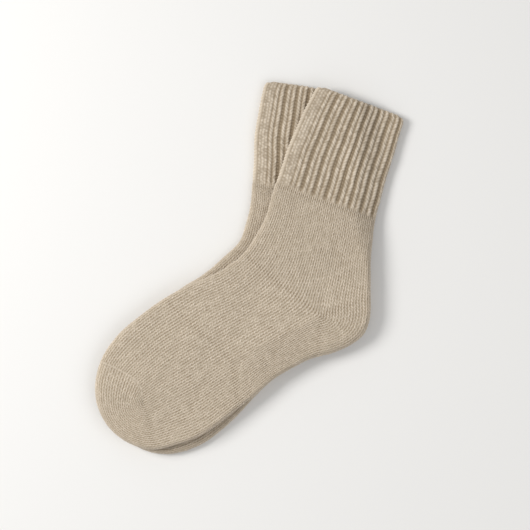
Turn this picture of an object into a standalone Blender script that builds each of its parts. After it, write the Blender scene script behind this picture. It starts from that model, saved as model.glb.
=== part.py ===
"""A pair of knitted wool ankle socks, laid flat, one on the other.

Metres, +Z up. Both socks are drawn flat in one drawing plane and then laid: the lower one turns at
the ankle, and the upper one is draped over it. In the drawing plane the ankle point, where the rows
of the heel meet, is the origin, and +Y runs up the leg towards the mouth. The finished pair has its
origin on the surface that it lies on, under the middle of its own box.
"""

import math
from collections.abc import Callable, Iterable

import bmesh
import bpy
from mathutils import Matrix, Vector

# Driving dimensions of one sock, laid flat.
LEG_REACH = 0.1833  # ankle point to the mouth
CUFF_HEIGHT = 0.0914  # the ribbed stretch below the mouth
CUFF_WIDTH = 0.080
CUFF_BACK = 0.024  # ankle point to the back edge of the cuff, across the leg
ANKLE_FRONT = 0.0683  # ankle point to the front edge of the leg, across the leg
TOE_REACH = 0.202  # ankle point to the tip of the toe, along the foot
HEEL_BACK = 0.040  # ankle point to the heel's corner
FOOT_BREADTH = 0.1155  # across the ball of the foot
SOLE_DROP = 0.0345  # ankle point to the sole's edge, across the foot
TOE_CAP = 0.036  # tip of the toe back to the toe point, where the rows of the toe meet
TOE_POINT_RISE = 0.0144  # toe point above the ankle point, across the foot
MOUTH_SLOPE = -0.07  # the mouth and the rib's end run a little downhill to the back
FOOT_ANGLE = math.radians(46.7)  # the foot's axis below a line square to the leg

# The knitted wall, and how the tube lies.
WALL = 0.0020
HOLLOW = 0.0046  # the space left between the two faces of a sock
EDGE_STEPS = 3  # facets of the rounded fold, on each face
SEAM_WIDTH = 0.0024  # the linked toe seam
GAP = 0.0003  # between neighbouring pieces

# How the pair lies.
LOWER_LEG_TURN = math.radians(12.7)
LOWER_FOOT_TURN = math.radians(6)
LOWER_SHIFT = Vector((-0.0033, 0.0094))
# Where the lower sock is pushed a little out of shape: the middle, how far round it, and which way.
PUSHES = [
    (Vector((-0.070, 0.012)), 0.038, Vector((-0.0047, 0.0017))),
    (Vector((-0.066, 0.095)), 0.045, Vector((0.0044, 0.0020))),
    (Vector((-0.090, -0.165)), 0.050, Vector((0.0045, 0.0005))),
    (Vector((0.030, 0.185)), 0.035, Vector((-0.0020, -0.0055))),
]
TURN_START, TURN_END = 0.0223, 0.0669  # along the leg, where the lower sock's ankle turns
DRAPE_START = 0.006  # the upper sock starts to come down this far outside the lower one
DRAPE_FALL = 0.016  # and is down after this distance more
UPPER_REST = 0.0005  # the upper sock's clearance over the surface beside the lower one
GRID = 0.008  # cuts across a face that is bent or draped

OUTLINE_STEPS = 3  # points on each span of the outline
PAST_MOUTH = 0.028  # the shell is made this much longer, and the mouth is cut out of it
FAR = 0.2  # past the sock on every side
BEYOND = 0.03  # past a fold

THICKNESS = 2 * WALL + HOLLOW
RIB_END = LEG_REACH - CUFF_HEIGHT
INSTEP_RISE = FOOT_BREADTH - SOLE_DROP


def on_leg(across: float, along: float) -> Vector:
    """A point of the drawing plane, by its place across and up the leg."""
    return Vector((across, along))


def on_foot(along: float, across: float) -> Vector:
    """A point of the drawing plane, by its place towards the toe and towards the instep."""
    towards_toe = Vector((-math.cos(FOOT_ANGLE), -math.sin(FOOT_ANGLE)))
    towards_instep = Vector((-math.sin(FOOT_ANGLE), math.cos(FOOT_ANGLE)))
    return along * towards_toe + across * towards_instep


def course(across: float, along: float) -> Vector:
    """A point on the knitted row that crosses the leg's middle at this height."""
    return on_leg(across, along + MOUTH_SLOPE * across)


def smooth_step(share: float) -> float:
    share = min(max(share, 0.0), 1.0)
    return share * share * (3 - 2 * share)


def smooth_line(points: list[Vector], steps: int) -> list[Vector]:
    """An open Catmull-Rom curve through the points."""
    padded = [2 * points[0] - points[1], *points, 2 * points[-1] - points[-2]]
    line = []
    for before, start, end, after in zip(padded, padded[1:], padded[2:], padded[3:]):
        for step in range(steps):
            t = step / steps
            line.append(
                0.5
                * (
                    2 * start
                    + (end - before) * t
                    + (2 * before - 5 * start + 4 * end - after) * t**2
                    + (3 * start - before - 3 * end + after) * t**3
                )
            )
    return [*line, points[-1]]


def across_foot(along: float, share: float) -> Vector:
    """A point of the foot's edge, by its place towards the toe and its share of the foot's breadth."""
    return on_foot(along, share * FOOT_BREADTH - SOLE_DROP)


def front_edge() -> list[Vector]:
    """The fold from the mouth down the front of the leg and along the instep to the ball."""
    cuff_front = CUFF_BACK - CUFF_WIDTH
    return [
        course(cuff_front, LEG_REACH),
        course(0.35 * cuff_front - 0.65 * ANKLE_FRONT, RIB_END + CUFF_HEIGHT / 2),
        course(0.1 * cuff_front - 0.9 * ANKLE_FRONT, RIB_END),
        on_leg(-ANKLE_FRONT, 0.7 * RIB_END),
        across_foot(0.12 * TOE_REACH, 1.0),
        across_foot(0.23 * TOE_REACH, 0.965),
        across_foot(0.33 * TOE_REACH, 0.975),
        across_foot(0.44 * TOE_REACH, 1.0),
    ]


def toe_edge() -> list[Vector]:
    """The fold from the ball round the toe to the sole."""
    return [
        across_foot(0.63 * TOE_REACH, 0.99),
        across_foot(TOE_REACH - 0.045, 0.94),
        across_foot(TOE_REACH - 0.0235, 0.85),
        across_foot(TOE_REACH - 0.0052, 0.668),
        across_foot(TOE_REACH, 0.45),
        across_foot(TOE_REACH - 0.006, 0.252),
        across_foot(TOE_REACH - 0.0222, 0.099),
        across_foot(0.77 * TOE_REACH, 0.0225),
        across_foot(0.666 * TOE_REACH, 0.0),
    ]


def back_edge() -> list[Vector]:
    """The fold from the sole round the heel and up the back of the leg to the mouth."""
    return [
        across_foot(0.557 * TOE_REACH, 0.014),
        across_foot(0.39 * TOE_REACH, 0.055),
        across_foot(0.28 * TOE_REACH, 0.08),
        across_foot(0.0287, 0.07),
        across_foot(0.0056, 0.018),
        across_foot(-0.0111, 0.0),
        on_leg(HEEL_BACK, -0.003),
        on_leg(HEEL_BACK + 0.0003, 0.0148),
        on_leg(0.2 * CUFF_BACK + 0.7 * HEEL_BACK, 0.041),
        course(CUFF_BACK - 0.0006, RIB_END),
        course(CUFF_BACK, LEG_REACH),
    ]


def outline(past_mouth: float = 0.0) -> list[Vector]:
    """The sock's outline, anticlockwise, and as far past the mouth as a clean cut there needs."""
    past = Vector((0, past_mouth))
    edge = [*front_edge(), *toe_edge(), *back_edge()]
    if past_mouth:
        edge = [edge[0] + past, *edge, edge[-1] + past]
    return smooth_line(edge, OUTLINE_STEPS)


def mesh_from(bm: bmesh.types.BMesh, name: str) -> bpy.types.Mesh:
    mesh = bpy.data.meshes.new(name)
    bm.to_mesh(mesh)
    bm.free()
    return mesh


def prism(points: Iterable[Vector], low: float, high: float) -> bmesh.types.BMesh:
    """A closed slab with this outline."""
    bm = bmesh.new()
    face = bm.faces.new([bm.verts.new((*point, low)) for point in points])
    made = bmesh.ops.extrude_face_region(bm, geom=[face])
    raised = [v for v in made["geom"] if isinstance(v, bmesh.types.BMVert)]
    bmesh.ops.translate(bm, verts=raised, vec=(0, 0, high - low))
    bmesh.ops.recalc_face_normals(bm, faces=bm.faces)
    return bm


def shrunk(polygon: list[Vector], inset: float) -> list[Vector]:
    """The polygon with every side moved inwards. It runs anticlockwise."""
    moved = []
    for index, point in enumerate(polygon):
        into = (point - polygon[index - 1]).normalized()
        out = (polygon[(index + 1) % len(polygon)] - point).normalized()
        first = Vector((-into.y, into.x))
        second = Vector((-out.y, out.x))
        moved.append(point + inset * (first + second) / (1 + first.dot(second)))
    return moved


def pillow(points: list[Vector], inset: float) -> bpy.types.Mesh:
    """A flat slab of the outline with round folds, this far inside the sock's outer face."""
    half = THICKNESS / 2 - inset
    bm = bmesh.new()
    rings = []
    for step in range(-EDGE_STEPS, EDGE_STEPS + 1):
        angle = math.pi / 2 * step / EDGE_STEPS
        height = THICKNESS / 2 + half * math.sin(angle)
        ring = shrunk(points, inset + half * (1 - math.cos(angle)))
        rings.append([bm.verts.new((*point, height)) for point in ring])
    bm.faces.new(reversed(rings[0]))
    for lower, upper in zip(rings, rings[1:]):
        for index in range(len(lower)):
            bm.faces.new((lower[index - 1], lower[index], upper[index], upper[index - 1]))
    bm.faces.new(rings[-1])
    return mesh_from(bm, "pillow")


def boolean(mesh: bpy.types.Mesh, cutter: bpy.types.Mesh, operation: str) -> bpy.types.Mesh:
    """The mesh that an exact Boolean leaves."""
    body = bpy.data.objects.new("body", mesh)
    tool = bpy.data.objects.new("tool", cutter)
    for obj in (body, tool):
        bpy.context.collection.objects.link(obj)
    cut = body.modifiers.new("cut", "BOOLEAN")
    cut.operation = operation
    cut.object = tool
    graph = bpy.context.evaluated_depsgraph_get()
    made = bpy.data.meshes.new_from_object(body.evaluated_get(graph))
    for obj in (body, tool):
        bpy.data.objects.remove(obj)
    return made


def tube() -> bpy.types.Mesh:
    """The whole sock as one hollow shell, closed at the toe."""
    edge = outline(PAST_MOUTH)
    return boolean(pillow(edge, 0.0), pillow(edge, WALL), "DIFFERENCE")


def ray(centre: Vector, through: Vector) -> Vector:
    """A point outside the sock, from the centre on past a point of the fold."""
    return through + BEYOND * (through - centre).normalized()


def ankle_front() -> Vector:
    """Where the row through the ankle point meets the front fold."""
    return 0.5 * (on_leg(-ANKLE_FRONT, 0.0) + on_foot(0.0, INSTEP_RISE))


def heel_start() -> Vector:
    """Where the heel's first row meets the back fold."""
    return on_leg(0.935 * HEEL_BACK, 0.028)


def heel_end() -> Vector:
    """Where the heel's last row meets the sole's fold."""
    return across_foot(0.0200, 0.051)


def toe_point() -> Vector:
    return on_foot(TOE_REACH - TOE_CAP, TOE_POINT_RISE)


def toe_end() -> Vector:
    """Where the toe's last row meets the sole's fold."""
    return across_foot(TOE_REACH - 0.024, 0.095)


def seam_line(shift: float) -> list[Vector]:
    """The linked seam, from the toe point over the instep and past the fold, moved towards the toe."""
    root = TOE_REACH - TOE_CAP + shift
    rise = INSTEP_RISE - TOE_POINT_RISE
    seam = [
        on_foot(root, TOE_POINT_RISE),
        on_foot(root - 0.006, TOE_POINT_RISE + 0.24 * rise),
        on_foot(root + 0.002, TOE_POINT_RISE + 0.50 * rise),
        on_foot(root + 0.013, TOE_POINT_RISE + 0.74 * rise),
        on_foot(root + 0.030, TOE_POINT_RISE + 1.00 * rise),
    ]
    return [*smooth_line(seam, 2), ray(seam[-2], seam[-1])]


def sections() -> dict[str, list[Vector]]:
    """The drawing plane shared out between the knitted sections, each polygon anticlockwise."""
    ankle = Vector((0, 0))
    mouth = [course(FAR, LEG_REACH), course(-FAR, LEG_REACH)]
    rib = [course(-FAR, RIB_END), course(FAR, RIB_END)]
    front = ray(ankle, ankle_front())
    heel_top = ray(ankle, heel_start())
    heel_foot = ray(ankle, heel_end())
    toe_foot = ray(toe_point(), toe_end())
    seam_heelward = seam_line(-SEAM_WIDTH / 2)
    seam_toeward = seam_line(SEAM_WIDTH / 2)
    past_toe = [on_foot(TOE_REACH + BEYOND, side) for side in (INSTEP_RISE, -FOOT_BREADTH / 2)]
    return {
        "cuff": [*mouth, *rib],
        "leg": [rib[1], rib[0], front, ankle, heel_top],
        "heel": [ankle, heel_foot, on_leg(HEEL_BACK + BEYOND, -BEYOND), heel_top],
        "foot": [ankle, front, *reversed(seam_heelward), toe_point(), toe_foot, heel_foot],
        "toe": [toe_point(), *seam_toeward, *past_toe, toe_foot],
        "toe_seam": [*seam_heelward, *reversed(seam_toeward)],
    }


def turned(point: Vector) -> Vector:
    """A point of the drawing plane where the lower sock lies, bent a little more at the ankle."""
    share = smooth_step((point.y - TURN_START) / (TURN_END - TURN_START))
    turn = LOWER_FOOT_TURN + share * (LOWER_LEG_TURN - LOWER_FOOT_TURN)
    pushed = Matrix.Rotation(turn, 2) @ point + LOWER_SHIFT
    for middle, reach, push in PUSHES:
        pushed += math.exp(-(((point - middle).length / reach) ** 2)) * push
    return pushed


def lay_lower(point: Vector) -> Vector:
    """The lower sock lies flat on the surface."""
    return turned(point.xy).to_3d() + Vector((0, 0, point.z))


def distance_outside(point: Vector, edge: list[Vector]) -> float:
    """How far the point lies outside the closed edge, or 0 inside it."""
    nearest = math.inf
    inside = False
    for start, end in zip(edge, [*edge[1:], edge[0]]):
        side = end - start
        share = min(max((point - start).dot(side) / side.length_squared, 0.0), 1.0)
        nearest = min(nearest, (start + share * side - point).length)
        if (start.y > point.y) != (end.y > point.y):
            crossing = start.x + side.x * (point.y - start.y) / side.y
            inside ^= point.x < crossing
    return 0.0 if inside else nearest


def draping() -> Callable[[Vector], Vector]:
    """The upper sock lies over the lower one, and comes down to the surface beside it."""
    edge = [turned(point) for point in outline()]
    top = THICKNESS + GAP

    def lay_upper(point: Vector) -> Vector:
        outside = distance_outside(point.xy, edge) - DRAPE_START
        rest = UPPER_REST + (top - UPPER_REST) * (1 - smooth_step(outside / DRAPE_FALL))
        return point + Vector((0, 0, rest))

    return lay_upper


def grid_cut(mesh: bpy.types.Mesh) -> None:
    """Cuts every face along a square grid, so that it can be bent and draped."""
    bm = bmesh.new()
    bm.from_mesh(mesh)
    for axis in range(2):
        normal = Vector((axis == 0, axis == 1, 0))
        low = min(v.co[axis] for v in bm.verts)
        high = max(v.co[axis] for v in bm.verts)
        for line in range(math.ceil(low / GRID), math.ceil(high / GRID)):
            geom = [*bm.verts, *bm.edges, *bm.faces]
            bmesh.ops.bisect_plane(bm, geom=geom, plane_co=line * GRID * normal, plane_no=normal)
    bmesh.ops.triangulate(bm, faces=bm.faces)
    bm.to_mesh(mesh)
    bm.free()


def wool(name: str, colour: tuple[float, float, float]) -> bpy.types.Material:
    material = bpy.data.materials.new(name)
    material.use_nodes = True
    shader = material.node_tree.nodes["Principled BSDF"]
    shader.inputs["Base Color"].default_value = (*colour, 1.0)
    shader.inputs["Roughness"].default_value = 0.95
    shader.inputs["Metallic"].default_value = 0.0
    material.diffuse_color = (*colour, 1.0)
    return material


def add_sock(
    name: str,
    cut: dict[str, bpy.types.Mesh],
    lay: Callable[[Vector], Vector],
    yarn: dict[str, bpy.types.Material],
) -> list[bpy.types.Object]:
    """One sock: an object for each knitted section, laid where it belongs."""
    made = []
    for section, flat in cut.items():
        mesh = flat.copy()
        for vert in mesh.vertices:
            vert.co = lay(vert.co)
        mesh.materials.clear()
        mesh.materials.append(yarn.get(section, yarn["knit"]))
        mesh.shade_smooth()
        mesh.set_sharp_from_angle(angle=math.radians(40))
        obj = bpy.data.objects.new(f"{name}_{section}", mesh)
        bpy.context.collection.objects.link(obj)
        made.append(obj)
    return made


def centre(objects: list[bpy.types.Object]) -> None:
    """Puts the middle of the pair over the origin."""
    corners = [v.co for obj in objects for v in obj.data.vertices]
    middle = [0.5 * (min(c[i] for c in corners) + max(c[i] for c in corners)) for i in range(2)]
    for obj in objects:
        obj.data.transform(Matrix.Translation((-middle[0], -middle[1], 0)))


def main() -> None:
    for obj in list(bpy.data.objects):
        bpy.data.objects.remove(obj)
    yarn = {
        "knit": wool("oatmeal_wool", (0.504, 0.418, 0.332)),
        "toe_seam": wool("oatmeal_linking_yarn", (0.462, 0.379, 0.296)),
    }
    sock = tube()
    cut = {}
    for section, polygon in sections().items():
        cutter = mesh_from(prism(shrunk(polygon, GAP / 2), -FAR, FAR), "cutter")
        cut[section] = boolean(sock, cutter, "INTERSECT")
        grid_cut(cut[section])
    lower = add_sock("lower_sock", cut, lay_lower, yarn)
    upper = add_sock("upper_sock", cut, draping(), yarn)
    centre([*lower, *upper])


main()
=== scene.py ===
"""A pair of hand-knitted wool ankle socks, laid flat with one draped over the other.

Each sock is knitted here as it is on the needles: a ribbed cuff, a plain leg, a turned heel, a
foot and a turned toe, and a linked seam that closes the toe over the instep. Every section is a
closed double-faced tube or pocket of fabric, and its stitches are modelled on it course by course.
"""

import logging
import math
from collections.abc import Callable
from dataclasses import dataclass
from enum import Enum

import bmesh
import bpy
import numpy as np
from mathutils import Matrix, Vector


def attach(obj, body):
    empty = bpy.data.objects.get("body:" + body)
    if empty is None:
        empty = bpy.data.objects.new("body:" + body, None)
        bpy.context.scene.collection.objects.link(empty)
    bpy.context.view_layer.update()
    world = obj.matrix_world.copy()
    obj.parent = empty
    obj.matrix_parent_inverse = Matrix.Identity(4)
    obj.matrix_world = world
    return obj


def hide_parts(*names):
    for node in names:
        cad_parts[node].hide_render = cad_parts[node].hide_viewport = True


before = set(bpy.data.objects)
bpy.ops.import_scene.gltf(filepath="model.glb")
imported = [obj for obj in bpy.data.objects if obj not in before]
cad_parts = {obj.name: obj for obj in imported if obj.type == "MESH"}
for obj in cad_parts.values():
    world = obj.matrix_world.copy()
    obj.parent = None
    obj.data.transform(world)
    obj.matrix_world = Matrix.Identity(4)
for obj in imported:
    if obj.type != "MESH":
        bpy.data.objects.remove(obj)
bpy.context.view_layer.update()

logging.basicConfig(level=logging.INFO, format="%(message)s")
log = logging.getLogger("socks")

WALES = 27  # wales on one face of a sock: 54 stitches to the round
COLUMNS = 6  # mesh columns to a wale
ROWS = 6  # mesh rows to a course
CUFF_COURSES = 33
LEG_COURSES = 28
HEEL_COURSES = 27
FOOT_COURSES = 56
TOE_COURSES = 42
HEEL_WALES = 9  # wales on one face between the heel point and the fold
TOE_WALES = 12  # and between the toe point and the fold
VIEW_MIDDLE = (-0.0568, 0.0291)  # what the camera looks at, on the drawing plane


class Stitch(Enum):
    """How a section is knitted."""

    JERSEY = "plain knit, a column of Vs to each wale"
    RIB = "two knit, one purl"


class Held(Enum):
    """How a sock lies."""

    LAID = "laid"
    DRAPED = "draped"


class Mark(Enum):
    """A place on the folded edge where a section begins or ends."""

    MOUTH_FRONT = "the front of the mouth"
    RIB_FRONT = "the rib's last course, in front"
    ANKLE = "the course through the ankle point, in front"
    SEAM = "the toe seam"
    TOE = "the toe's first course, on the sole"
    HEEL_END = "the heel's last course, on the sole"
    HEEL_START = "the heel's first course, behind"
    RIB_BACK = "the rib's last course, behind"
    MOUTH_BACK = "the back of the mouth"


def linear(hex_colour: str) -> tuple[float, float, float, float]:
    """Turns an sRGB colour into Blender's linear values.

    Args:
        hex_colour: Six hexadecimal digits after a hash sign.

    Returns:
        The linear red, green and blue, and an alpha of 1.
    """
    parts = [int(hex_colour[i : i + 2], 16) / 255 for i in (1, 3, 5)]
    return (*(p / 12.92 if p <= 0.04045 else ((p + 0.055) / 1.055) ** 2.4 for p in parts), 1.0)


def new_material(name: str) -> tuple[bpy.types.Material, bpy.types.NodeTree]:
    """Starts a material.

    Args:
        name: The material's name.

    Returns:
        The material and its node tree, which is empty.
    """
    material = bpy.data.materials.new(name)
    material.use_nodes = True
    material.node_tree.nodes.clear()
    return material, material.node_tree


def add_node(
    tree: bpy.types.NodeTree,
    kind: str,
    inputs: dict[str | int, object] | None = None,
    **settings: object,
) -> bpy.types.Node:
    """Adds a node with its settings, values and links.

    Args:
        tree: The material's node tree.
        kind: The node's Blender type.
        inputs: A value, or an output socket to link, for each input by name or number.
        **settings: Attributes of the node.

    Returns:
        The new node.
    """
    node = tree.nodes.new(kind)
    for name, value in settings.items():
        setattr(node, name, value)
    for name, value in (inputs or {}).items():
        if isinstance(value, bpy.types.NodeSocket):
            tree.links.new(value, node.inputs[name])
        else:
            node.inputs[name].default_value = value
    return node


def smooth_step(share: np.ndarray) -> np.ndarray:
    """Goes from 0 to 1 with a level start and end."""
    share = np.clip(share, 0.0, 1.0)
    return share * share * (3 - 2 * share)


def unit(vectors: np.ndarray) -> np.ndarray:
    """Vectors of length 1, and 0 where there was none."""
    size = np.linalg.norm(vectors, axis=-1, keepdims=True)
    return vectors / np.maximum(size, 1e-12)


@dataclass(frozen=True)
class Wool:
    """Undyed woollen-spun yarn, knitted: matt, with a soft halo of fibres, and shade painted into
    its grooves.
    """

    name: str = "undyed_woollen_yarn"
    light: str = "#DBCEBD"  # the crown of a strand, where least shade is painted
    body: str = "#C4B6A2"
    shade: str = "#9A8972"  # painted shade between wales
    groove: str = "#84735B"  # painted shade behind a rib, where little light gets in
    heather: float = 0.07  # how far paler and darker fibres vary the yarn
    fibre_mm: float = 0.8  # fibres are 0.03 mm, drawn as clumps of this size so that they show
    cloud_mm: float = 35.0  # width of the patches in which the fleece is paler or darker
    cloud: float = 0.07  # and how far they vary it
    ply_turns: float = 3.0  # turns of the ply along one stitch

    def material(self) -> bpy.types.Material:
        """Builds the yarn's material.

        Returns:
            The material. It reads the attribute "groove", by which it paints shade into the
            grooves, the attribute "tone_and_fold_highlight", which holds each stitch's own tone and
            a painted highlight along the folds, and the UV map "knit".
        """
        material, tree = new_material(self.name)
        place = add_node(tree, "ShaderNodeTexCoord").outputs["Object"]
        knit = add_node(tree, "ShaderNodeUVMap", uv_map="knit").outputs["UV"]
        depth, tone_and_fold_highlight = (
            add_node(tree, "ShaderNodeAttribute", attribute_name=name).outputs["Fac"]
            for name in ("groove", "tone_and_fold_highlight")
        )
        clumps, cloudy = (
            add_node(
                tree,
                "ShaderNodeTexNoise",
                {"Vector": place, "Scale": 1000 / width, "Detail": detail, "Roughness": rough},
            ).outputs["Fac"]
            for width, detail, rough in ((3 * self.fibre_mm, 3.0, 0.65), (self.cloud_mm, 2.0, 0.5))
        )
        # The ramp paints shade into the colour: palest at the crowns, darker the deeper the fabric
        # lies, down to the groove's colour behind a rib.
        shaded = add_node(tree, "ShaderNodeValToRGB", {"Fac": depth})
        ramp = shaded.color_ramp.elements
        ramp[0].position, ramp[0].color = 0.0, linear(self.light)
        ramp[1].position, ramp[1].color = 1.0, linear(self.groove)
        ramp.new(0.22).color = linear(self.body)
        ramp.new(0.56).color = linear(self.shade)
        mottle, patchy = (
            add_node(
                tree,
                "ShaderNodeMath",
                {0: noise, 1: 2 * spread, 2: 1 - spread},
                operation="MULTIPLY_ADD",
            ).outputs["Value"]
            for noise, spread in ((clumps, self.heather), (cloudy, self.cloud))
        )
        # Each stitch's own tone, with the highlight painted along the folds, varies the colour.
        each = add_node(
            tree, "ShaderNodeMath", {0: tone_and_fold_highlight, 1: 0.05, 2: mottle}, operation="MULTIPLY_ADD"
        ).outputs["Value"]
        varied = add_node(
            tree, "ShaderNodeMath", {0: each, 1: patchy}, operation="MULTIPLY"
        ).outputs["Value"]
        colour = add_node(
            tree,
            "ShaderNodeVectorMath",
            {0: shaded.outputs["Color"], "Scale": varied},
            operation="SCALE",
        ).outputs["Vector"]
        turned = add_node(
            tree,
            "ShaderNodeMapping",
            {"Vector": knit, "Scale": (2.0, self.ply_turns, 1.0), "Rotation": (0.0, 0.0, 0.6)},
        ).outputs["Vector"]
        plies = add_node(
            tree,
            "ShaderNodeTexWave",
            {"Vector": turned, "Scale": 0.5, "Distortion": 1.5, "Detail": 1.0, "Detail Scale": 2.0},
        ).outputs["Fac"]
        plied = add_node(
            tree, "ShaderNodeBump", {"Strength": 0.25, "Distance": 0.0003, "Height": plies}
        ).outputs["Normal"]
        fuzzy = add_node(
            tree,
            "ShaderNodeBump",
            {"Strength": 0.35, "Distance": 0.0004, "Height": clumps, "Normal": plied},
        ).outputs["Normal"]
        shader = add_node(
            tree,
            "ShaderNodeBsdfPrincipled",
            {
                "Base Color": colour,
                "Normal": fuzzy,
                "Roughness": 0.93,
                "IOR": 1.55,  # keratin
                "Specular IOR Level": 0.22,
                "Sheen Weight": 0.42,
                "Sheen Roughness": 0.55,
                "Sheen Tint": linear("#F2E8DA"),
            },
        ).outputs["BSDF"]
        add_node(tree, "ShaderNodeOutputMaterial", {"Surface": shader})
        return material


@dataclass(frozen=True)
class Paper:
    """The studio's seamless background paper: pale, matt, with a barely visible pulp."""

    name: str = "seamless_background_paper"
    colour: str = "#E9E7E3"
    pulp_mm: float = 1000 / 260  # fibres clump finer than this, too fine to show

    def material(self) -> bpy.types.Material:
        """Builds the paper's material.

        Returns:
            The material.
        """
        material, tree = new_material(self.name)
        place = add_node(tree, "ShaderNodeTexCoord").outputs["Object"]
        pulp = add_node(
            tree,
            "ShaderNodeTexNoise",
            {"Vector": place, "Scale": 1000 / self.pulp_mm, "Detail": 3.0},
        ).outputs["Fac"]
        uneven = add_node(
            tree, "ShaderNodeBump", {"Strength": 0.06, "Distance": 0.0005, "Height": pulp}
        ).outputs["Normal"]
        shader = add_node(
            tree,
            "ShaderNodeBsdfPrincipled",
            {
                "Base Color": linear(self.colour),
                "Normal": uneven,
                "Roughness": 0.9,
                "Specular IOR Level": 0.2,
            },
        ).outputs["BSDF"]
        add_node(tree, "ShaderNodeOutputMaterial", {"Surface": shader})
        return material


@dataclass(frozen=True)
class Line:
    """A line of points, read by the length along it."""

    points: np.ndarray
    along: np.ndarray

    @classmethod
    def of(cls, points: np.ndarray) -> "Line":
        """Measures a line of points."""
        gaps = np.linalg.norm(np.diff(points, axis=0), axis=1)
        return cls(points, np.concatenate([[0.0], np.cumsum(gaps)]))

    @classmethod
    def through(cls, points: list[np.ndarray], steps: int = 40) -> "Line":
        """Draws a smooth open curve through the points.

        Args:
            points: The points, in order.
            steps: Steps between each two.

        Returns:
            The curve.
        """
        padded = [2 * points[0] - points[1], *points, 2 * points[-1] - points[-2]]
        t = (np.arange(steps) / steps)[:, None]
        spans = [
            0.5
            * (
                2 * b
                + (c - a) * t
                + (2 * a - 5 * b + 4 * c - d) * t**2
                + (3 * b - a - 3 * c + d) * t**3
            )
            for a, b, c, d in zip(padded, padded[1:], padded[2:], padded[3:])
        ]
        return cls.of(np.vstack([*spans, points[-1][None]]))

    @property
    def length(self) -> float:
        """The whole length of the line."""
        return float(self.along[-1])

    def at(self, distance: np.ndarray) -> np.ndarray:
        """The points at these lengths along the line."""
        return np.stack([np.interp(distance, self.along, self.points[:, i]) for i in (0, 1)], -1)

    def near(self, point: np.ndarray) -> float:
        """The length along the line at which it comes nearest the point."""
        return float(self.along[np.argmin(np.linalg.norm(self.points - point, axis=1))])

    def meets(self, centre: np.ndarray, towards: np.ndarray) -> float:
        """Finds where a ray crosses the line.

        Args:
            centre: Where the ray starts.
            towards: A point that it passes through.

        Returns:
            The length along the line at which the ray first crosses it.
        """
        ray = unit(towards - centre)
        offset = self.points - centre
        side = ray[0] * offset[:, 1] - ray[1] * offset[:, 0]
        ahead = offset @ ray
        found = np.nonzero((side[:-1] * side[1:] <= 0) & (ahead[:-1] > 0))[0]
        i = found[np.argmin(ahead[found])]
        share = side[i] / (side[i] - side[i + 1] + 1e-15)
        return float(self.along[i] + share * (self.along[i + 1] - self.along[i]))


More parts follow.
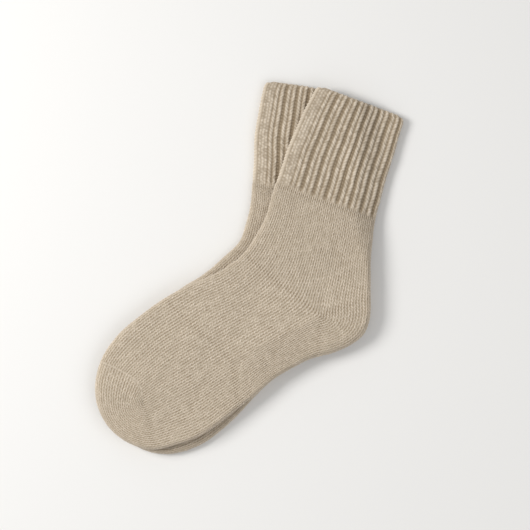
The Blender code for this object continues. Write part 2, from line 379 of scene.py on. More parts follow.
@dataclass(frozen=True)
class SockPattern:
    """The sock's shape on the drawing plane, with the ankle point at the origin, the leg up +Y."""

    leg_reach: float = 0.1833  # ankle point to the mouth
    cuff_height: float = 0.0914
    cuff_width: float = 0.080
    cuff_back: float = 0.024
    ankle_front: float = 0.0683
    toe_reach: float = 0.202  # ankle point to the tip of the toe
    heel_back: float = 0.040
    foot_breadth: float = 0.1155
    sole_drop: float = 0.0345
    toe_cap: float = 0.036
    toe_point_rise: float = 0.0144
    mouth_slope: float = -0.07
    foot_angle: float = math.radians(46.7)
    thickness: float = 0.0086

    def on_leg(self, across: float, along: float) -> np.ndarray:
        """A point by its place across the leg and up it."""
        return np.array([across, along])

    def on_foot(self, along: float, across: float) -> np.ndarray:
        """A point by its place along the foot and across it."""
        cos, sin = math.cos(self.foot_angle), math.sin(self.foot_angle)
        return np.array([-along * cos - across * sin, -along * sin + across * cos])

    def course(self, across: float, along: float) -> np.ndarray:
        """A point of the leg, with the slope of its courses."""
        return self.on_leg(across, along + self.mouth_slope * across)

    def across_foot(self, along: float, share: float) -> np.ndarray:
        """A point of the foot, by its share of the foot's breadth."""
        return self.on_foot(along, share * self.foot_breadth - self.sole_drop)

    @property
    def rib_end(self) -> float:
        """The height of the rib's last course."""
        return self.leg_reach - self.cuff_height

    @property
    def toe_point(self) -> np.ndarray:
        """Where the courses of the toe meet."""
        return self.on_foot(self.toe_reach - self.toe_cap, self.toe_point_rise)

    def outline(self) -> Line:
        """Draws the folded edge.

        Returns:
            The edge, anticlockwise from the front of the mouth to its back.
        """
        front, ankle, toe = self.cuff_back - self.cuff_width, self.ankle_front, self.toe_reach
        back, heel = self.cuff_back, self.heel_back
        return Line.through(
            [
                self.course(front, self.leg_reach),
                self.course(0.35 * front - 0.65 * ankle, self.rib_end + self.cuff_height / 2),
                self.rib_front,
                self.on_leg(-ankle, 0.7 * self.rib_end),
                self.across_foot(0.12 * toe, 1.0),
                self.across_foot(0.23 * toe, 0.965),
                self.across_foot(0.33 * toe, 0.975),
                self.across_foot(0.44 * toe, 1.0),
                self.across_foot(0.63 * toe, 0.99),
                self.across_foot(toe - 0.045, 0.94),
                self.across_foot(toe - 0.0235, 0.85),
                self.across_foot(toe - 0.0052, 0.668),
                self.across_foot(toe, 0.45),
                self.across_foot(toe - 0.006, 0.252),
                self.across_foot(toe - 0.0222, 0.099),
                self.across_foot(0.77 * toe, 0.0225),
                self.across_foot(0.666 * toe, 0.0),
                self.across_foot(0.557 * toe, 0.014),
                self.across_foot(0.39 * toe, 0.055),
                self.across_foot(0.28 * toe, 0.08),
                self.across_foot(0.0287, 0.07),
                self.across_foot(0.0056, 0.018),
                self.across_foot(-0.0111, 0.0),
                self.on_leg(heel, -0.003),
                self.on_leg(heel + 0.0003, 0.0148),
                self.on_leg(0.2 * back + 0.7 * heel, 0.041),
                self.rib_back,
                self.course(back, self.leg_reach),
            ]
        )

    @property
    def rib_front(self) -> np.ndarray:
        """The front fold at the rib's last course."""
        front = self.cuff_back - self.cuff_width
        return self.course(0.1 * front - 0.9 * self.ankle_front, self.rib_end)

    @property
    def rib_back(self) -> np.ndarray:
        """The back fold at the rib's last course."""
        return self.course(self.cuff_back - 0.0006, self.rib_end)

    @property
    def ankle_front_point(self) -> np.ndarray:
        """A point on the course that runs from the ankle point to the front fold."""
        rise = self.foot_breadth - self.sole_drop
        return 0.5 * (self.on_leg(-self.ankle_front, 0.0) + self.on_foot(0.0, rise))

    @property
    def heel_start(self) -> np.ndarray:
        """Where the heel's first course meets the back fold."""
        return self.on_leg(0.935 * self.heel_back, 0.028)

    @property
    def heel_end(self) -> np.ndarray:
        """Where the heel's last course meets the sole's fold."""
        return self.across_foot(0.0200, 0.051)

    @property
    def toe_start(self) -> np.ndarray:
        """Where the toe's first course meets the sole's fold."""
        return self.across_foot(self.toe_reach - 0.024, 0.095)

    def seam(self) -> Line:
        """Draws the linked seam.

        Returns:
            The seam, from the toe point over the instep to the fold.
        """
        root, foot = self.toe_reach - self.toe_cap, self.toe_point_rise
        rise = self.foot_breadth - self.sole_drop - foot
        knots = [(0.0, 0.0), (-0.006, 0.24), (0.002, 0.50), (0.013, 0.74), (0.030, 1.00)]
        return Line.through([self.on_foot(root + x, foot + y * rise) for x, y in knots])


@dataclass
class Laying:
    """How one sock lies: turned on the surface, or draped over the other one."""

    pattern: SockPattern
    held: Held
    leg_turn: float = math.radians(12.7)
    foot_turn: float = math.radians(6)
    shift: tuple[float, float] = (-0.0033, 0.0094)
    turn_start: float = 0.0223
    turn_end: float = 0.0669
    # Where the lower sock is pushed out of shape: the middle, how far round it, and which way.
    pushes: tuple[tuple[float, float, float, float, float], ...] = (
        (-0.070, 0.012, 0.038, -0.0047, 0.0017),
        (-0.066, 0.095, 0.045, 0.0044, 0.0020),
        (-0.090, -0.165, 0.050, 0.0045, 0.0005),
        (0.030, 0.185, 0.035, -0.0020, -0.0055),
    )
    gap: float = 0.0003
    rest: float = 0.0005
    drape_start: float = -0.001
    drape_fall: float = 0.028
    cell: float = 0.0015  # spacing of the heights that the draped sock follows

    def turned(self, flat: np.ndarray) -> np.ndarray:
        """Bends points at the ankle as the lower sock is bent.

        Args:
            flat: Points of the drawing plane.

        Returns:
            Where the lower sock has them.
        """
        span = self.turn_end - self.turn_start
        share = smooth_step((flat[..., 1] - self.turn_start) / span)
        turn = self.foot_turn + share * (self.leg_turn - self.foot_turn)
        cos, sin = np.cos(turn), np.sin(turn)
        x, y = flat[..., 0], flat[..., 1]
        pushed = np.stack([x * cos - y * sin, x * sin + y * cos], -1) + np.array(self.shift)
        for mx, my, reach, dx, dy in self.pushes:
            near = np.exp(-((x - mx) ** 2 + (y - my) ** 2) / reach**2)
            pushed = pushed + near[..., None] * np.array([dx, dy])
        return pushed

    def __post_init__(self) -> None:
        """Works out the height of the surface under the draped sock on a grid."""
        edge = self.turned(self.pattern.outline().points[::8])
        self.low = edge.min(0) - 0.06
        size = np.ceil((edge.max(0) + 0.06 - self.low) / self.cell).astype(int) + 1
        x, y = (self.low[i] + self.cell * np.arange(size[i]) for i in (0, 1))
        cells = np.stack(np.meshgrid(x, y, indexing="ij"), -1).reshape(-1, 2)
        nearest, inside = np.full(len(cells), np.inf), np.zeros(len(cells), bool)
        for a, b in zip(edge, np.roll(edge, -1, axis=0)):
            d = b - a
            share = np.clip(((cells - a) @ d) / (d @ d), 0, 1)
            nearest = np.minimum(nearest, np.linalg.norm(cells - a - share[:, None] * d, axis=1))
            crosses = (a[1] > cells[:, 1]) != (b[1] > cells[:, 1])
            at_x = a[0] + (cells[:, 1] - a[1]) * d[0] / (d[1] if d[1] else 1e-12)
            inside ^= crosses & (cells[:, 0] < at_x)
        outside = np.where(inside, 0.0, nearest)
        fall = smooth_step((outside - self.drape_start) / self.drape_fall)
        top = self.pattern.thickness + self.gap - self.rest
        self.heights = (self.rest + top * (1 - fall)).reshape(size)

    def height(self, flat: np.ndarray) -> np.ndarray:
        """Reads the height of the draped sock's lower face.

        Args:
            flat: Points of the plane.

        Returns:
            The height over each.
        """
        place = (flat - self.low) / self.cell
        corner = np.clip(np.floor(place).astype(int), 0, np.array(self.heights.shape) - 2)
        fx, fy = np.clip(place - corner, 0, 1)[..., 0], np.clip(place - corner, 0, 1)[..., 1]
        i, j = corner[..., 0], corner[..., 1]
        h = self.heights
        return (h[i, j] * (1 - fx) + h[i + 1, j] * fx) * (1 - fy) + (
            h[i, j + 1] * (1 - fx) + h[i + 1, j + 1] * fx
        ) * fy

    def lay(self, flat: np.ndarray, z: np.ndarray) -> np.ndarray:
        """Puts fabric from the drawing plane where the sock lies.

        Args:
            flat: Places on the drawing plane.
            z: Heights over whatever the sock lies on.

        Returns:
            The points, before the pair is centred.
        """
        if self.held is Held.LAID:
            return np.concatenate([self.turned(flat), z[..., None]], -1)
        return np.concatenate([flat, (z + self.height(flat))[..., None]], -1)


@dataclass
class Relief:
    """Stitches: how deep the fabric's face lies under its crowns."""

    jersey_depth: float = 0.00125  # between wales
    middle: float = 0.12  # how far up the two strands of a V lie where they part
    joined: float = 0.40  # how far up a strand lies between one stitch and the next
    rib_groove: float = 0.00175  # the purl wale, drawn in behind its neighbours
    rib_line: float = 0.00135  # between the two knit wales of a rib
    slope: float = 1.25  # courses that a strand runs down on its way across half a wale
    open_wales: float = 4.2  # the purl wale beside the front fold is spread this wide
    rib_units: int = 15  # ribs round the rest of the cuff
    knit_share: float = 0.38  # of a rib's width that each of its knit wales takes
    second_knit: float = 0.44  # where the second starts
    rib_crown: float = 0.00018  # a rib's crowns lie this far back, and so take a little painted shade
    rib_strand: float = 0.0004  # and the places between its strands this much further
    purl_bump: float = 0.0009  # the heads of the purl stitches in a groove
    rib_lean: float = 1.1  # courses that a rib's strand runs up or down across its wale
    strand_uneven: float = 0.0002  # how far one strand of a rib stands above another
    edge_wales: float = 1.7  # the knit wale that the fold itself runs along, on each face
    wander: float = 0.07  # wales that a stitch strays to the side
    uneven: float = 0.14  # courses that a stitch strays up or down
    seed: int = 7

    def __post_init__(self) -> None:
        """Draws the tables of how each stitch differs from its neighbours."""
        self.tables = np.random.default_rng(self.seed).uniform(-1, 1, (3, 2 * WALES, 127))

    def own(self, wale: np.ndarray, course: np.ndarray) -> np.ndarray:
        """Looks up each stitch's own difference, from -1 to 1."""
        i, j = np.floor(wale).astype(int) % (2 * WALES), np.floor(course).astype(int) % 127
        return self.tables[0][i, j]

    def drift(self, table: int, wale: np.ndarray, course: np.ndarray) -> np.ndarray:
        """Finds how far stitches stray, which changes smoothly from each to the next.

        Args:
            table: Which table of differences.
            wale: Place across, in wales.
            course: Place down, in courses.

        Returns:
            From -1 to 1 for each place.
        """
        i, j = np.floor(wale).astype(int), np.floor(course).astype(int)
        u, v = smooth_step(wale - i), smooth_step(course - j)
        t, n = self.tables[table], 2 * WALES
        first = t[i % n, j % 127] * (1 - u) + t[(i + 1) % n, j % 127] * u
        second = t[i % n, (j + 1) % 127] * (1 - u) + t[(i + 1) % n, (j + 1) % 127] * u
        return first * (1 - v) + second * v

    def face(
        self, stitch: Stitch, wale: np.ndarray, course: np.ndarray, hold: np.ndarray
    ) -> tuple[np.ndarray, np.ndarray]:
        """The fabric's face.

        Args:
            stitch: How it is knitted.
            wale: Place across, in wales.
            course: Place down, in courses.
            hold: 0 where stitches lie exactly in place, as at a section's ends, and 1 elsewhere.

        Returns:
            The depth under the crowns in metres, and each stitch's difference.
        """
        loose = 0.4 if stitch is Stitch.RIB else 1.0
        stray = wale + loose * self.wander * hold * self.drift(1, wale, course)
        uneven = course + self.uneven * hold * self.drift(2, wale, course)
        if stitch is Stitch.RIB:
            return self.rib(stray, uneven)
        return self.jersey(stray, uneven)

    def jersey(self, wale: np.ndarray, course: np.ndarray) -> tuple[np.ndarray, np.ndarray]:
        """Knits plain: in each wale, strands lean in to make Vs, which open towards the mouth.

        Args:
            wale: Place across, in wales.
            course: Place down, in courses.

        Returns:
            The depth under the crowns in metres, and each stitch's difference.
        """
        half = np.abs(wale - np.floor(wale) - 0.5) * 2
        strand = course + self.slope * half
        across = np.sin(np.pi * half) ** 0.6
        across = np.where(half < 0.5, self.middle + (1 - self.middle) * across, across)
        crown = (0.5 - 0.5 * np.cos(2 * np.pi * strand)) ** 0.7
        own = self.own(wale, strand + np.where(wale - np.floor(wale) > 0.5, 60, 0))
        full = across * (self.joined + (1 - self.joined + 0.14 * own) * crown)
        return self.jersey_depth * (1 - np.clip(full, 0, 1.15)), own * across

    def rib(self, wale: np.ndarray, course: np.ndarray) -> tuple[np.ndarray, np.ndarray]:
        """Knits two, purls one, which draws in to a groove but is spread open at the front fold.

        Args:
            wale: Place across, in wales.
            course: Place down, in courses.

        Returns:
            The depth under the crowns in metres, and each stitch's difference.
        """
        whole, opened = 2 * WALES, self.open_wales
        place = np.mod(wale, whole)
        from_fold = np.minimum(place, whole - place)
        along = (place - opened) / (whole - 2 * opened) * self.rib_units
        share = along - np.floor(along)
        own = self.own(wale, course)
        depth = self.two_by_one(share, course, own)
        depth = np.where(from_fold < opened, self.spread_purl(from_fold, wale, course, own), depth)
        return depth, own

    def two_by_one(self, share: np.ndarray, course: np.ndarray, own: np.ndarray) -> np.ndarray:
        """Makes the ribs: two knit wales with a line between them, and a purl wale in a groove.

        Args:
            share: Place across a rib, from 0 to 1.
            course: Place down, in courses.
            own: Each stitch's difference.

        Returns:
            The depth under the crowns in metres.
        """
        groove, line = self.rib_groove, self.rib_line
        width, second = self.knit_share, self.second_knit
        bump = 0.5 - 0.5 * np.cos(2 * np.pi * course)
        purl = np.clip((share - second - width) / (1 - second - width), 0, 1)
        depth = groove - self.purl_bump * bump * np.sin(np.pi * purl)
        for start, lean, left, right in ((0.0, -1, groove, line), (second, 1, line, groove)):
            t = np.clip((share - start) / width, 0, 1)
            rise = np.sin(np.pi * t) ** 0.5
            side = np.where(t < 0.5, left, right)
            strand = 0.5 - 0.5 * np.cos(2 * np.pi * (course + lean * self.rib_lean * t))
            crown = self.rib_crown + self.rib_strand * (1 - strand) - self.strand_uneven * own
            ridge = (1 - rise) * side + rise * crown
            depth = np.where((share >= start) & (share <= start + width), ridge, depth)
        return np.where((share > width) & (share < second), line - 0.0005 * bump, depth)

    def spread_purl(
        self, from_fold: np.ndarray, wale: np.ndarray, course: np.ndarray, own: np.ndarray
    ) -> np.ndarray:
        """Makes the knit wale that the front fold runs along, and the opened purl wale beside it.

        Args:
            from_fold: Wales from the fold.
            wale: Place across, in wales.
            course: Place down, in courses.
            own: Each stitch's difference.

        Returns:
            The depth under the crowns in metres.
        """
        groove, width = self.rib_groove, self.edge_wales
        across = (from_fold - width) / (self.open_wales - width)
        column = 3 * across + 0.15 * self.drift(2, wale, course)
        every = np.mod(np.floor(column), 2) / 2
        down = course + every + 0.12 * self.drift(1, wale, course)
        dot = 0.5 - 0.5 * np.cos(2 * np.pi * down)
        parted = np.sin(np.pi * (column - np.floor(column))) ** 0.7
        purl = groove * (0.62 - 0.15 * np.sin(np.pi * np.clip(across, 0, 1)))
        purl = purl - parted * (0.00025 + 0.00036 * dot + 0.00022 * own)
        t = np.clip(from_fold / width, 0, 1)
        strand = 0.5 - 0.5 * np.cos(2 * np.pi * (course + 0.9 * t))
        edge = (1 - np.cos(np.pi / 2 * t) ** 0.4) * groove * 0.55
        edge = edge + 0.0006 * (1 - strand) * (1 - t) + 0.0001
        return np.where(from_fold < width, edge, purl)


@dataclass
class Rows:
    """The courses of one section, one for each row of its grid, each bent between two folds."""

    bend: np.ndarray
    back: np.ndarray
    back_wales: np.ndarray | float
    front: np.ndarray | None = None  # a heel or toe has none: its courses end at the bend
    below_rib: np.ndarray | None = None  # courses below the rib, where wales turn the ankle
    seam: Line | None = None  # the seam that the last courses bow to meet
    bow: np.ndarray | float = 0.0  # how far each has come to do so

    def bow_at(self, share: np.ndarray, behind: np.ndarray) -> np.ndarray | float:
        """How far a course lies from straight.

        Args:
            share: Place on the course, from its fold to the bend.
            behind: Which places lie behind the bend.

        Returns:
            The offset on the drawing plane.
        """
        if self.seam is None:
            return 0.0
        share = 1 - np.clip(share, 0, 1)
        start, end = self.seam.points[0], self.seam.points[-1]
        away = self.seam.at(share * self.seam.length) - start - (end - start) * share[..., None]
        on = self.bow * (1.0 if self.front is None else np.where(behind, 0.0, 1.0))
        return away * on[..., None]


@dataclass
class Sock:
    """One sock: its sections, their stitches, and how it lies."""

    name: str
    pattern: SockPattern
    laying: Laying
    relief: Relief
    yarn: bpy.types.Material
    linking: bpy.types.Material
    middle: np.ndarray
    phase: float = 0.0
    sway: float = 0.0002  # how far the wales wander together
    sink: float = 0.0006  # how far the upper face sinks in places
    turn_courses: float = 10.0  # how widely the foremost wales turn the ankle
    painted_fold_highlight: float = 2.2  # how much paler the wool is painted along a fold: a painted highlight for the lit halo of fibres there
    lip_courses: float = 1.4  # the mouth's edge is rounded over these
    scallop: float = 0.0009  # how far the rib's grooves draw that edge in
    corner: float = 0.0030  # rounding of the mouth's two corners
    deep_share: float = 0.86  # the deepest that a heel's or toe's wales part, so no ring stands out
    wall: float = 0.0020  # thickness of the plain fabric
    rib_wall: float = 0.0030  # and of the ribbed
    inside_painted_shade: float = 0.35  # how dark the inside of the fabric is painted, for the shade in it, on the scale of a groove
    chain_thick: float = 0.0006  # the linking yarn between two links of the seam's chain
    chain_bulge: float = 0.0003  # and how much thicker a link is
    chain_sink: float = 0.0011  # the chain's middle lies this far under the crowns

    def __post_init__(self) -> None:
        """Finds where the sections begin and end on the folded edge."""
        p = self.pattern
        self.edge, seam = p.outline(), p.seam()
        apart = np.linalg.norm(seam.points[:, None] - self.edge.points[None], axis=-1)
        last, meet = np.unravel_index(np.argmin(apart), apart.shape)
        self.seam = Line.of(np.vstack([seam.points[:last], self.edge.points[meet][None]]))
        ankle = np.zeros(2)
        self.mark = {
            Mark.MOUTH_FRONT: 0.0,
            Mark.RIB_FRONT: self.edge.near(p.rib_front),
            Mark.ANKLE: self.edge.meets(ankle, p.ankle_front_point),
            Mark.SEAM: float(self.edge.along[meet]),
            Mark.TOE: self.edge.meets(p.toe_point, p.toe_start),
            Mark.HEEL_END: self.edge.meets(ankle, p.heel_end),
            Mark.HEEL_START: self.edge.meets(ankle, p.heel_start),
            Mark.RIB_BACK: self.edge.near(p.rib_back),
            Mark.MOUTH_BACK: self.edge.length,
        }
        self.roll = p.thickness / 2
        self.tucked = self.roll * (math.pi / 2 - 1)

    def fold(self, start: Mark, end: Mark, share: np.ndarray) -> np.ndarray:
        """Points of the folded edge, by their share of the way between two marks."""
        a, b = self.mark[start], self.mark[end]
        return self.edge.at(a + (b - a) * share)

    def bend_on(self, front: np.ndarray, back: np.ndarray) -> np.ndarray:
        """Finds the point of a straight course that has a heel's wales between it and the back.

        Args:
            front: The course's front end.
            back: Its back end.

        Returns:
            The point.
        """
        width = np.linalg.norm(back - front, axis=-1, keepdims=True)
        share = 1 - HEEL_WALES / WALES
        reach = share * (width + 2 * self.tucked) - self.tucked
        return front + (back - front) / width * reach

    def turned_ankle(self, below_rib: np.ndarray, ahead: np.ndarray) -> np.ndarray:
        """The bend of the courses in front of the ankle, rounder the further in front.

        Args:
            below_rib: Courses below the rib.
            ahead: How near the place is to the bend, from 0 at the front fold to 1.

        Returns:
            The bend's place on the drawing plane.
        """
        past = below_rib - LEG_COURSES
        span = np.where(past < 0, LEG_COURSES, FOOT_COURSES)
        radius = self.turn_courses * (1 - ahead) * (1 - (past / span) ** 2)
        root = np.sqrt(past**2 + radius**2)
        up, down = (root - past) / 2, (root + past) / 2
        ends = (self.fold(mark, mark, np.zeros(1)) for mark in (Mark.RIB_FRONT, Mark.RIB_BACK))
        top = self.bend_on(*ends)[0]
        leg, foot = top / LEG_COURSES, self.pattern.toe_point / FOOT_COURSES
        return up[..., None] * leg + down[..., None] * foot

    def place(self, wale: np.ndarray, rows: Rows) -> np.ndarray:
        """Puts the fabric's smooth face in space.

        Args:
            wale: Place round the sock in wales, from the front fold over the upper face.
            rows: The courses, one for each row of the grid.

        Returns:
            The points of the face.
        """
        wale = np.mod(wale, 2 * WALES)
        over = wale <= WALES
        side = np.where(over, 1.0, -1.0)
        wale = np.where(over, wale, 2 * WALES - wale)
        m = rows.back_wales
        count = np.clip((WALES - wale) / m, 0, 1) + np.zeros_like(rows.back[..., 0])
        fold, bend, behind = rows.back, rows.bend, np.ones(count.shape, bool)
        if rows.front is not None:
            behind = (wale > WALES - m) + np.zeros(count.shape, bool)
            count = np.where(behind, count, wale / (WALES - m))
            fold = np.where(behind[..., None], rows.back, rows.front)
        if rows.below_rib is not None:
            ahead = self.turned_ankle(rows.below_rib, count)
            bend = np.where(behind[..., None], rows.bend, ahead)
        span = np.linalg.norm(bend - fold, axis=-1)
        length = count * (span + self.tucked)
        turn = np.minimum(length / self.roll, math.pi / 2)
        inward = self.roll * (1 - np.cos(turn)) + np.maximum(length - self.roll * math.pi / 2, 0)
        up = self.roll * np.sin(turn)
        share = inward / span
        flat = fold + (bend - fold) * share[..., None] + rows.bow_at(share, behind)
        x, y = 1000 * flat[..., 0], 1000 * flat[..., 1]
        sway = [np.sin(y / 5.9 + self.phase), np.sin((x + 0.4 * y) / 6.8 + 2 * self.phase)]
        sink = 2 + np.sin((x - 0.3 * y) / 8.3 + self.phase)
        sink = sink + np.sin((y + 0.5 * x) / 11 - self.phase)
        up = up - np.where(side > 0, self.sink / 4, 0) * sink * (up / self.roll) ** 2
        spot = self.laying.lay(flat + self.sway * np.stack(sway, -1), self.roll + side * up)
        spot[..., :2] -= self.middle
        return spot

    def knit(
        self,
        section: str,
        wales: tuple[int, int],
        courses: int,
        rows_at: Callable[[np.ndarray], Rows],
        stitch: Stitch = Stitch.JERSEY,
        node: str | None = None,
        mouth: bool = False,
    ) -> None:
        """Knits one section as a closed double-faced piece, with its stitches on the outer face.

        Args:
            section: The section's name.
            wales: The first and last wale, counted round from the front fold over the upper face.
            courses: Courses from its first row to its last.
            rows_at: Gives the courses at shares of the section's length.
            stitch: How it is knitted.
            node: The CAD node that it stands for, where it isn't named as the section is.
            mouth: Whether the first course is the sock's cast-off edge.
        """
        columns, count = (wales[1] - wales[0]) * COLUMNS, courses * ROWS
        share = np.linspace(0, 1, count + 1)[:, None]
        step = 1 / COLUMNS
        wale = np.linspace(wales[0] - step, wales[1] + step, columns + 3)[None, :]
        closed = wales[1] - wales[0] == 2 * WALES
        if not closed:
            wale = wale[:, 1:-1]
        rows = rows_at(share)
        smooth = self.place(wale, rows)
        across, down = np.gradient(smooth, axis=1), np.gradient(smooth, axis=0)
        out = -unit(np.cross(across, down))
        if closed:
            smooth, out, down, wale = (a[:, 1:-1] for a in (smooth, out, down, wale))
        else:
            out[:, 0], out[:, -1] = (0, 0, 1), (0, 0, -1)
        wale, course = wale + 0 * share, courses * share + 0 * wale
        depth, each = self.stitches(stitch, wale, course, courses, closed)
        # A painted highlight along both folds, added to each stitch's own tone.
        from_fold = np.abs(np.mod(wale + WALES / 2, WALES) - WALES / 2)
        each = each + self.painted_fold_highlight * np.exp(-((from_fold / 1.1) ** 2))
        deepest = self.relief.rib_groove
        face = depth.copy()
        back = np.linspace(count, 0, max(2, courses // 3) + 1).round().astype(int)
        wall = self.rib_wall if stitch is Stitch.RIB else self.wall
        inner = np.full((len(back), columns + 1), wall)
        if mouth:
            near = np.clip(1 - courses * share / self.lip_courses, 0, 1)
            lip = wall / 2 * (1 - np.sqrt(1 - near**2))
            face, inner = face * (1 - 0.5 * near) + lip, inner - lip[back]
        outer = smooth - out * face[..., None]
        inside = smooth[back] - out[back] * inner[..., None]
        if mouth:
            drawn = self.scallop * near * depth[:1] / deepest
            scallop = drawn[..., None] * unit(down)
            outer, inside = outer + scallop, inside + scallop[back]
        number = np.concatenate([np.arange(count + 1), count + 1 + np.arange(len(back)), [0]])
        ends = {count, count + 1, count + len(back)} | (set() if mouth else {0})
        # The groove attribute paints shade by depth under the crowns; the inside walls get one flat
        # painted shade.
        shaded = depth / deepest
        values = {
            "groove": np.concatenate([shaded, 0 * inner + self.inside_painted_shade, shaded[:1]]),
            "tone_and_fold_highlight": np.concatenate([each, 0 * inner, each[:1]]),
        }
        points = np.concatenate([outer, inside, outer[:1]])
        obj = shell(f"{self.name}_{section}_knit", points, values, number, ends)
        obj.data.materials.append(self.yarn)
        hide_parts(f"{self.name}_{node or section}")
        self.declare(obj)

    def stitches(
        self, stitch: Stitch, wale: np.ndarray, course: np.ndarray, courses: int, closed: bool
    ) -> tuple[np.ndarray, np.ndarray]:
        """Gives a section its stitches.

        Args:
            stitch: How it is knitted.
            wale: Place across, in wales.
            course: Place down, in courses.
            courses: The section's courses.
            closed: Whether it goes all round. A heel or toe doesn't, and is knitted in short rows:
                a wale has fewer courses the nearer it is to where they meet.

        Returns:
            The depth under the crowns in metres, and each stitch's difference.
        """
        hold = smooth_step(np.minimum(course, courses - course) / 1.5)
        if closed:
            depth, each = self.relief.face(stitch, wale, course, hold)
            if stitch is Stitch.RIB:
                plain, _ = self.relief.face(Stitch.JERSEY, wale, course, hold)
                fade = smooth_step((course - courses + 2.2) / 2.2)
                depth = depth * (1 - fade) + plain * fade
            return depth, each
        wales = (wale.max() - wale.min()) / 2
        from_point = wales - np.abs(wale - WALES)
        hold = hold * smooth_step(from_point / 2)
        nth = np.clip(np.floor(from_point) + 1, 1, wales)
        course = course * np.round(courses * nth / wales) / courses
        depth, each = self.relief.face(stitch, wale, course, hold)
        return np.minimum(depth, self.deep_share * self.relief.jersey_depth), each

    def declare(self, obj: bpy.types.Object) -> None:
        """Attaches the section's piece to its sock.

        Args:
            obj: The section's piece.
        """
        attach(obj, self.name)

    def cuff_rows(self, share: np.ndarray) -> Rows:
        """Places the cuff's courses, the first of them with rounded corners.

        Args:
            share: Each course's share of the way down the cuff.

        Returns:
            The courses.
        """
        front = self.fold(Mark.MOUTH_FRONT, Mark.RIB_FRONT, share)
        back = self.fold(Mark.MOUTH_BACK, Mark.RIB_BACK, share)
        round_off = np.clip(1 - CUFF_COURSES * share / 2.5, 0, 1)[..., None]
        corner = self.corner * (1 - np.sqrt(1 - round_off**2)) * unit(back - front)
        front, back = front + corner, back - corner
        return Rows(self.bend_on(front, back), back, float(HEEL_WALES), front)

    def cuff(self) -> None:
        """Knits the ribbed cuff, from the cast-off edge down."""
        wales = (0, 2 * WALES)
        self.knit("cuff", wales, CUFF_COURSES, self.cuff_rows, Stitch.RIB, mouth=True)

    def leg_rows(self, share: np.ndarray) -> Rows:
        """Places the leg's courses, which start to turn the ankle in front.

        Args:
            share: Each course's share of the way down the leg.

        Returns:
            The courses.
        """
        front = self.fold(Mark.RIB_FRONT, Mark.ANKLE, share)
        back = self.fold(Mark.RIB_BACK, Mark.HEEL_START, share)
        bend = self.bend_on(front[:1], back[:1]) * (1 - share[..., None])
        return Rows(bend, back, float(HEEL_WALES), front, LEG_COURSES * share)

    def leg(self) -> None:
        """Knits the plain leg, down to the course through the ankle point."""
        self.knit("leg", (0, 2 * WALES), LEG_COURSES, self.leg_rows)

    def heel_rows(self, share: np.ndarray) -> Rows:
        """Places the heel's courses, by their share of the way round it."""
        back = self.fold(Mark.HEEL_START, Mark.HEEL_END, share)
        return Rows(np.zeros_like(back), back, float(HEEL_WALES))

    def heel(self) -> None:
        """Knits the turned heel, a pocket whose courses meet at the ankle point."""
        wales = (WALES - HEEL_WALES, WALES + HEEL_WALES)
        self.knit("heel", wales, HEEL_COURSES, self.heel_rows)

    def foot_rows(self, share: np.ndarray) -> Rows:
        """Places the foot's courses, the last of which bow to meet the seam.

        Args:
            share: Each course's share of the way along the foot.

        Returns:
            The courses.
        """
        front = self.fold(Mark.ANKLE, Mark.SEAM, share)
        back = self.fold(Mark.HEEL_END, Mark.TOE, share)
        bend = self.pattern.toe_point * share[..., None]
        wales = HEEL_WALES + (TOE_WALES - HEEL_WALES) * share
        below_rib = LEG_COURSES + FOOT_COURSES * share
        bow = smooth_step((share - 0.55) / 0.45)
        return Rows(bend, back, wales, front, below_rib, self.seam, bow)

    def foot(self) -> None:
        """Knits the foot in two lengths, from the ankle point to the toe point."""
        for section, start in (("foot_back", 0.0), ("foot_front", 0.5)):
            self.knit(
                section,
                (0, 2 * WALES),
                FOOT_COURSES // 2,
                lambda share, start=start: self.foot_rows(start + share / 2),
                node="foot",
            )

    def toe_rows(self, share: np.ndarray) -> Rows:
        """Places the toe's courses, which turn about the toe point and bow to meet the seam.

        Args:
            share: Each course's share of the way round the toe.

        Returns:
            The courses.
        """
        back = self.fold(Mark.TOE, Mark.SEAM, share)
        bend = self.pattern.toe_point + np.zeros_like(back)
        bow = smooth_step((share - 0.45) / 0.55)
        return Rows(bend, back, float(TOE_WALES), seam=self.seam, bow=bow)

    def toe(self) -> None:
        """Knits the turned toe, a pocket whose courses meet at the toe point."""
        wales = (WALES - TOE_WALES, WALES + TOE_WALES)
        self.knit("toe", wales, TOE_COURSES, self.toe_rows)

    def toe_seam(self) -> None:
        """Links the toe to the instep with a chain of stitches over both faces."""
        links, ring = 2 * TOE_WALES, 10
        count = links * 8
        wale = np.linspace(WALES - TOE_WALES + 0.3, WALES + TOE_WALES - 0.3, count + 1)[None, :]
        share = np.array([[0.995], [1.0]])
        line = self.place(wale, self.toe_rows(share))
        on = unit(np.gradient(line[1], axis=0))
        beside = unit(line[1] - line[0])
        beside = unit(beside - (beside * on).sum(-1, keepdims=True) * on)
        out = np.cross(on, beside)
        out *= np.sign(out[count // 4, 2])
        place = np.linspace(0, links, count + 1)
        thick = self.chain_thick + self.chain_bulge * np.abs(np.sin(np.pi * place))
        thick *= np.sqrt(np.clip(np.minimum(place, links - place), 0, 1))
        turn = np.linspace(0, 2 * np.pi, ring + 1)[None, :, None]
        tube = line[1][:, None] - self.chain_sink * out[:, None] + thick[:, None, None] * (
            np.cos(turn) * beside[:, None] * 1.25 + np.sin(turn) * out[:, None] * 0.9
        )
        # Painted shade, deeper between its links than on them.
        groove = np.broadcast_to(0.9 - 800 * thick[:, None], tube.shape[:2])
        values = {"groove": groove, "tone_and_fold_highlight": 0 * groove}
        number = np.arange(count + 1) + 1
        obj = shell(f"{self.name}_toe_seam_chain", tube, values, number, set())
        obj.data.materials.append(self.linking)
        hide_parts(f"{self.name}_toe_seam")
        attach(obj, self.name)
        log.info("%s: %d links", obj.name, links)

    def knit_all(self) -> None:
        """Knits the whole sock from the cuff down."""
        self.cuff()
        self.leg()
        self.heel()
        self.foot()
        self.toe()
        self.toe_seam()


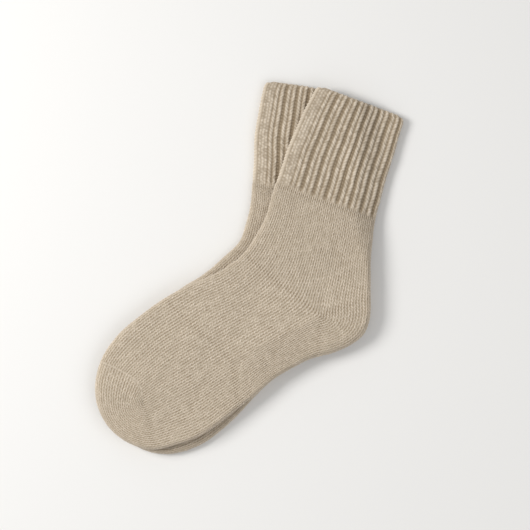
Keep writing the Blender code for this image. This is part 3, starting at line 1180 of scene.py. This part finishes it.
def shell(
    name: str,
    points: np.ndarray,
    values: dict[str, np.ndarray],
    number: np.ndarray,
    ends: set[int],
) -> bpy.types.Object:
    """Makes a closed piece of fabric from a grid that comes back to its own first edges.

    Args:
        name: The piece's name.
        points: Where each point of the grid goes, row by row.
        values: A number for each point, by the attribute that holds it.
        number: A number for each row; the last may repeat the first.
        ends: The numbers of rows that are sharp edges.

    Returns:
        The piece.
    """
    down, across = points.shape[0] - 1, points.shape[1] - 1
    bm = bmesh.new()
    bm.loops.layers.uv.new("knit")
    bmesh.ops.create_grid(bm, x_segments=across, y_segments=down, size=1.0, calc_uvs=True)
    mesh = bpy.data.meshes.new(name)
    bm.to_mesh(mesh)
    bm.free()
    total = len(mesh.vertices)
    flat = np.empty(total * 3, np.float32)
    mesh.vertices.foreach_get("co", flat)
    at = np.rint((flat.reshape(-1, 3)[:, :2] + 1) / 2 * (across, down)).astype(int)
    i, j = at[:, 0], at[:, 1]
    mesh.vertices.foreach_set("co", points[j, i].astype(np.float32).ravel())
    for key, value in values.items():
        layer = mesh.attributes.new(key, "FLOAT", "POINT")
        layer.data.foreach_set("value", value[j, i].astype(np.float32))
    mesh.attributes.new("row", "INT", "POINT").data.foreach_set("value", number[j].astype(np.int32))
    uv = np.empty(len(mesh.loops) * 2, np.float32)
    mesh.uv_layers["knit"].data.foreach_get("uv", uv)
    uv = uv.reshape(-1, 2) * (across / COLUMNS, down / ROWS)
    mesh.uv_layers["knit"].data.foreach_set("uv", uv.astype(np.float32).ravel())
    bm = bmesh.new()
    bm.from_mesh(mesh)
    bmesh.ops.remove_doubles(bm, verts=bm.verts[:], dist=2e-6)
    if bm.calc_volume(signed=True) < 0:
        bmesh.ops.reverse_faces(bm, faces=bm.faces[:])
    bm.to_mesh(mesh)
    bm.free()
    row = np.empty(len(mesh.vertices), np.int32)
    mesh.attributes["row"].data.foreach_get("value", row)
    pair = np.empty(len(mesh.edges) * 2, np.int32)
    mesh.edges.foreach_get("vertices", pair)
    pair = row[pair.reshape(-1, 2)]
    sharp = (pair[:, 0] == pair[:, 1]) & np.isin(pair[:, 0], list(ends))
    mesh.attributes.new("sharp_edge", "BOOLEAN", "EDGE").data.foreach_set("value", sharp)
    mesh.attributes.remove(mesh.attributes["row"])
    mesh.polygons.foreach_set("use_smooth", np.ones(len(mesh.polygons), bool))
    mesh.update()
    obj = bpy.data.objects.new(name, mesh)
    bpy.context.scene.collection.objects.link(obj)
    return obj


@dataclass
class Studio:
    """A pale floor, soft light from the left, and a camera looking straight down."""

    aim: tuple[float, float]  # the point of the surface at the middle of the view
    roll: float = math.radians(15.7)
    width: float = 0.451  # of the surface in view
    height: float = 1.6
    sensor: float = 36.0
    paper: Paper = Paper()
    air: str = "#F4F6FA"  # light from all round
    air_strength: float = 0.50

    def floor(self) -> None:
        """Lays the paper that the socks lie on."""
        bm = bmesh.new()
        bmesh.ops.create_grid(bm, x_segments=8, y_segments=8, size=2.0)
        mesh = bpy.data.meshes.new("floor")
        bm.to_mesh(mesh)
        bm.free()
        mesh.materials.append(self.paper.material())
        obj = bpy.data.objects.new("floor", mesh)
        bpy.context.scene.collection.objects.link(obj)

    def on_view(self, right: float, up: float) -> tuple[float, float]:
        """A point of the surface, by its place from the middle of the view."""
        cos, sin = math.cos(self.roll), math.sin(self.roll)
        return self.aim[0] + right * cos - up * sin, self.aim[1] + right * sin + up * cos

    def lamp(
        self, name: str, right: float, up: float, height: float, size: float, watts: float
    ) -> None:
        """Hangs one soft lamp that faces the socks.

        Args:
            name: The lamp's name.
            right: Its place to the right of the view.
            up: Its place towards the top of the view.
            height: Its height over the surface.
            size: Its width.
            watts: Its power.
        """
        light = bpy.data.lights.new(name, "AREA")
        light.shape, light.size, light.energy = "DISK", size, watts
        obj = bpy.data.objects.new(name, light)
        obj.location = (*self.on_view(right, up), height)
        facing = Vector((*self.aim, 0.0)) - obj.location
        obj.rotation_euler = facing.to_track_quat("-Z", "Y").to_euler()
        bpy.context.scene.collection.objects.link(obj)

    def build(self) -> None:
        """Sets up the floor, the lights and the camera."""
        self.floor()
        self.lamp("key", right=-1.10, up=0.30, height=1.05, size=0.7, watts=18.2)
        self.lamp("fill", right=0.9, up=-0.5, height=1.3, size=1.4, watts=6.0)
        world = bpy.data.worlds.new("studio")
        world.use_nodes = True
        light = world.node_tree.nodes["Background"].inputs
        light["Color"].default_value = linear(self.air)
        light["Strength"].default_value = self.air_strength
        bpy.context.scene.world = world
        camera = bpy.data.cameras.new("camera")
        camera.sensor_width = self.sensor
        camera.lens = self.sensor * self.height / self.width
        obj = bpy.data.objects.new("camera", camera)
        obj.location = (*self.aim, self.height)
        obj.rotation_euler = (0.0, 0.0, self.roll)
        bpy.context.scene.collection.objects.link(obj)
        bpy.context.scene.camera = obj
        bpy.context.scene.view_settings.view_transform = "Standard"


def main() -> None:
    """Knits the pair, lays it out and lights it."""
    pattern = SockPattern()
    lower = Laying(pattern, Held.LAID)
    upper = Laying(pattern, Held.DRAPED)
    edge = pattern.outline().points
    both = np.vstack([edge, lower.turned(edge)])
    middle = (both.min(0) + both.max(0)) / 2
    yarn = Wool().material()
    # Its colours, as the wool's, run from its crowns into painted shade.
    linking = Wool(
        name="undyed_linking_yarn",
        light="#D2C5B3",
        body="#BFB19D",
        shade="#A39580",
        groove="#87765E",
    ).material()
    for name, laying, phase, seed in (
        ("lower_sock", lower, 0.0, 7),
        ("upper_sock", upper, 1.9, 23),
    ):
        stitches = Relief(seed=seed)
        Sock(name, pattern, laying, stitches, yarn, linking, middle, phase).knit_all()
    Studio(tuple(np.array(VIEW_MIDDLE) - middle)).build()
    log.info("floor, lamps and camera are up")


if __name__ == "__main__":
    main()
